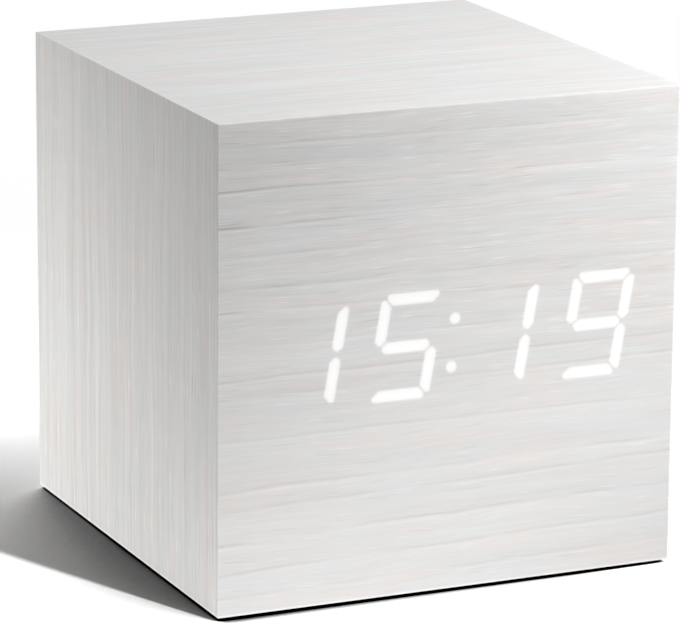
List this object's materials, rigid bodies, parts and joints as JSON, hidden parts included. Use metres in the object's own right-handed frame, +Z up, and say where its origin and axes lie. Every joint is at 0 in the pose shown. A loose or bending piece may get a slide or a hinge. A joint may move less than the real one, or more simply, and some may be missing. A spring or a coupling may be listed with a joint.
{
  "type": "digital alarm clock",
  "caption": "White wood-effect cube alarm clock: a lit digital time display shines through the front film, with push keys and a power inlet behind and a battery bay below.",
  "frame": {"origin": "on the table under the middle of the case, in the plane of the feet", "axes": "+X to the right seen from the front, +Y to the back, +Z up; the display faces -Y"},
  "size_m": [0.068, 0.068, 0.068],
  "materials": {
    "white_film": "white embossed wood-grain film, satin",
    "fibreboard": "raw fibreboard",
    "foot_rubber": "matte",
    "white_plastic": "moulded, matte",
    "lit_film": "the same film, lit from behind",
    "lit_lens": "clear resin, lit white",
    "dark_lens": "clear resin, unlit",
    "led_chip": "resin-topped chips",
    "circuit_board": "green solder mask",
    "steel": "zinc-plated",
    "chip_black": "moulded, fine matte",
    "capacitor_sleeve": "shrunk sleeve",
    "socket_plastic": "moulded",
    "ribbon_grey": "flexible insulation",
    "black_plastic": "moulded, fine spark texture",
    "key_plastic": "moulded, smooth",
    "nickel": "nickel-plated",
    "cell_can": null,
    "lead_black": "flexible insulation",
    "lead_red": "flexible insulation"
  },
  "bodies": {
    "case": {"wrap_film": "white_film", "lit_film": "lit_film", "left_film": "white_film", "right_film": "white_film", "front_board": "fibreboard", "back_board": "fibreboard", "left_board": "fibreboard", "right_board": "fibreboard", "top_board": "fibreboard", "bottom_board": "fibreboard", "feet": "foot_rubber", "display_housing": "white_plastic", "lit_segments": "lit_lens", "dark_segments": "dark_lens", "display_leds": "led_chip", "display_board": "circuit_board", "board_spacers": "white_plastic", "display_screws": "steel", "clock_chip": "chip_black", "crystal": "steel", "buzzer": "chip_black", "capacitors": "capacitor_sleeve", "ribbon_sockets": "socket_plastic", "ribbon_cable": "ribbon_grey", "control_panel": "black_plastic", "panel_screws": "steel", "switch_bodies": "steel", "key_board": "circuit_board", "key_board_screws": "steel", "dc_jack": "chip_black", "jack_pin": "nickel", "microphone": "nickel", "battery_box": "black_plastic", "battery_box_screws": "steel", "battery_contacts": "nickel", "battery_springs": "nickel", "batteries": "cell_can", "black_lead": "lead_black", "red_lead": "lead_red"},
    "set_key": {"set_button": "key_plastic", "set_plunger": "key_plastic"},
    "down_key": {"down_button": "key_plastic", "down_plunger": "key_plastic"},
    "up_key": {"up_button": "key_plastic", "up_plunger": "key_plastic"},
    "battery_lid": {"battery_door": "black_plastic"}
  },
  "joints": [
    {"name": "set_press", "type": "slide", "parent": "case", "child": "set_key", "axis": [0, -1, 0], "range_m": [0, 0.0003], "stiffness_N_per_m": 1500},
    {"name": "down_press", "type": "slide", "parent": "case", "child": "down_key", "axis": [0, -1, 0], "range_m": [0, 0.0003], "stiffness_N_per_m": 1500},
    {"name": "up_press", "type": "slide", "parent": "case", "child": "up_key", "axis": [0, -1, 0], "range_m": [0, 0.0003], "stiffness_N_per_m": 1500},
    {"name": "battery_door_hinge", "type": "hinge", "parent": "case", "child": "battery_lid", "pos_m": [-0.02465, 0, 0.0013], "axis": [0, 1, 0], "range_deg": [0, 85]}
  ]
}
